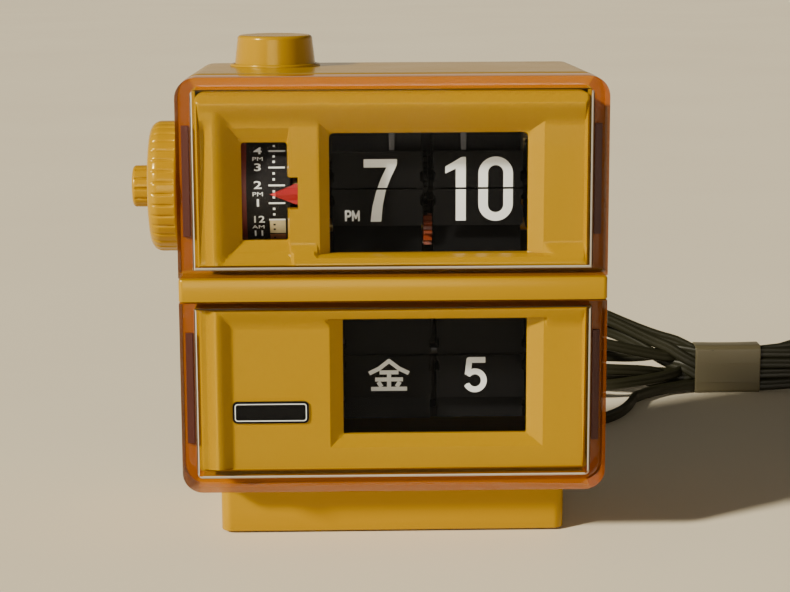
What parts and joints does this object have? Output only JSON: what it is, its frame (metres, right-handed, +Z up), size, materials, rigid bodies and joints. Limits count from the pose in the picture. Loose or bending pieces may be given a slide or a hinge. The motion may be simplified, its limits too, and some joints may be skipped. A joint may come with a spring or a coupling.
{
  "type": "flip number clock",
  "caption": "Flip number clock with a 24 hour alarm drum, a weekday and date display, side setting knobs, a push button on top and a tied supply cord.",
  "frame": {"origin": "on the table, under the middle of the clock's own box without its cord", "axes": "+Z up, -Y out of the dial towards the reader, +X to the reader's right"},
  "size_m": [0.3018, 0.243, 0.157],
  "materials": {
    "yellow_plastic": "gloss",
    "black_plastic": "matte",
    "clear_acrylic": "gloss",
    "red_plastic": "satin",
    "amber_plastic": "satin",
    "leaf_plastic": "matte",
    "rubber": "matte",
    "cord_pvc": "satin",
    "tie_film": "satin",
    "steel": "satin",
    "brass": "satin"
  },
  "bodies": {
    "clock_body": {"case_shell": "yellow_plastic", "rear_cover": "black_plastic", "upper_bezel": "yellow_plastic", "lower_bezel": "yellow_plastic", "middle_band": "yellow_plastic", "upper_window_cover": "clear_acrylic", "lower_window_cover": "clear_acrylic", "foot_pedestal": "yellow_plastic", "foot_pad_1": "rubber", "foot_pad_2": "rubber", "foot_pad_3": "rubber", "foot_pad_4": "rubber", "front_plaque": "black_plastic", "rear_screw_upper": "steel", "rear_screw_lower": "steel", "alarm_pointer": "red_plastic", "button_collar": "yellow_plastic", "alarm_switch": "black_plastic", "alarm_buzzer": "black_plastic", "hour_leaf_pack": "leaf_plastic", "minute_leaf_pack": "leaf_plastic", "day_leaf_pack": "leaf_plastic", "date_leaf_pack": "leaf_plastic", "leaf_clip_hours": "steel", "leaf_clip_minutes": "steel", "movement_plate_left": "steel", "movement_plate_right": "steel", "frame_pillar_top": "brass", "frame_pillar_bottom": "brass", "synchronous_motor": "steel", "calendar_frame": "steel", "strain_relief": "rubber", "power_cord": "cord_pvc", "cord_hank": "cord_pvc", "cord_tie": "tie_film", "power_plug": "black_plastic", "hour_leaf_lower": "leaf_plastic", "minute_leaf_lower": "leaf_plastic", "day_leaf_lower": "leaf_plastic", "date_leaf_lower": "leaf_plastic"},
    "alarm_button_body": {"alarm_button": "yellow_plastic"},
    "alarm_setting": {"alarm_setting_wheel": "yellow_plastic", "alarm_sleeve": "brass", "alarm_drum": "black_plastic"},
    "time_setting": {"time_knob": "yellow_plastic", "time_shaft": "steel", "minute_spool": "black_plastic"},
    "hours": {"hour_spool": "black_plastic"},
    "carry": {"carry_pinion": "amber_plastic"},
    "intermediate": {"intermediate_gear": "brass"},
    "motor_drive": {"motor_pinion": "brass"},
    "hour_flap_upper": {"hour_leaf_upper": "leaf_plastic"},
    "minute_flap_upper": {"minute_leaf_upper": "leaf_plastic"},
    "day_flap_upper": {"day_leaf_upper": "leaf_plastic"},
    "date_flap_upper": {"date_leaf_upper": "leaf_plastic"},
    "days": {"day_spool": "black_plastic"},
    "dates": {"date_spool": "black_plastic"},
    "calendar_drive": {"calendar_lever": "steel"},
    "day_push": {"day_advance_button": "black_plastic"},
    "date_push": {"date_advance_button": "black_plastic"}
  },
  "joints": [
    {"name": "alarm_button_slide", "type": "slide", "parent": "clock_body", "child": "alarm_button_body", "axis": [0, 0, -1], "range_m": [0, 0.005]},
    {"name": "alarm_dial_turn", "type": "hinge", "parent": "clock_body", "child": "alarm_setting", "pos_m": [-0.0621, -0.018, 0.1117], "axis": [1, 0, 0], "continuous": true},
    {"name": "time_knob_turn", "type": "hinge", "parent": "clock_body", "child": "time_setting", "pos_m": [-0.0701, -0.018, 0.1117], "axis": [1, 0, 0], "continuous": true},
    {"name": "hour_spool_turn", "type": "hinge", "parent": "clock_body", "child": "hours", "pos_m": [0.0039, -0.018, 0.1117], "axis": [1, 0, 0], "continuous": true},
    {"name": "carry_pinion_turn", "type": "hinge", "parent": "clock_body", "child": "carry", "pos_m": [0.0189, -0.02294, 0.09812], "axis": [1, 0, 0], "continuous": true},
    {"name": "intermediate_gear_turn", "type": "hinge", "parent": "clock_body", "child": "intermediate", "pos_m": [0.0519, 0.00643, 0.1232], "axis": [1, 0, 0], "continuous": true},
    {"name": "motor_pinion_turn", "type": "hinge", "parent": "clock_body", "child": "motor_drive", "pos_m": [0.0519, 0.00643, 0.1052], "axis": [1, 0, 0], "continuous": true},
    {"name": "hour_leaf_flip", "type": "hinge", "parent": "clock_body", "child": "hour_flap_upper", "pos_m": [0.0034, -0.029, 0.1117], "axis": [1, 0, 0], "range_deg": [0, 180]},
    {"name": "minute_leaf_flip", "type": "hinge", "parent": "clock_body", "child": "minute_flap_upper", "pos_m": [0.0346, -0.029, 0.1117], "axis": [1, 0, 0], "range_deg": [0, 180]},
    {"name": "day_leaf_flip", "type": "hinge", "parent": "clock_body", "child": "day_flap_upper", "pos_m": [0.0065, -0.0235, 0.058], "axis": [1, 0, 0], "range_deg": [0, 180]},
    {"name": "date_leaf_flip", "type": "hinge", "parent": "clock_body", "child": "date_flap_upper", "pos_m": [0.0359, -0.0235, 0.058], "axis": [1, 0, 0], "range_deg": [0, 180]},
    {"name": "day_spool_turn", "type": "hinge", "parent": "clock_body", "child": "days", "pos_m": [0.0065, -0.015, 0.058], "axis": [1, 0, 0], "continuous": true},
    {"name": "date_spool_turn", "type": "hinge", "parent": "clock_body", "child": "dates", "pos_m": [0.0359, -0.015, 0.058], "axis": [1, 0, 0], "continuous": true},
    {"name": "calendar_lever_swing", "type": "hinge", "parent": "clock_body", "child": "calendar_drive", "pos_m": [-0.0161, 0.003, 0.086], "axis": [1, 0, 0], "range_deg": [-6, 6]},
    {"name": "day_button_slide", "type": "slide", "parent": "clock_body", "child": "day_push", "axis": [0, -1, 0], "range_m": [0, 0.0025], "stiffness_N_per_m": 200, "springref_m": -0.001},
    {"name": "date_button_slide", "type": "slide", "parent": "clock_body", "child": "date_push", "axis": [0, -1, 0], "range_m": [0, 0.0025], "stiffness_N_per_m": 200, "springref_m": -0.001}
  ],
  "couplings": [
    {"joint": "hour_spool_turn", "follows": "time_knob_turn", "ratio": 0.041667},
    {"joint": "carry_pinion_turn", "follows": "time_knob_turn", "ratio": -0.1},
    {"joint": "intermediate_gear_turn", "follows": "time_knob_turn", "ratio": -1},
    {"joint": "motor_pinion_turn", "follows": "time_knob_turn", "ratio": 3}
  ]
}
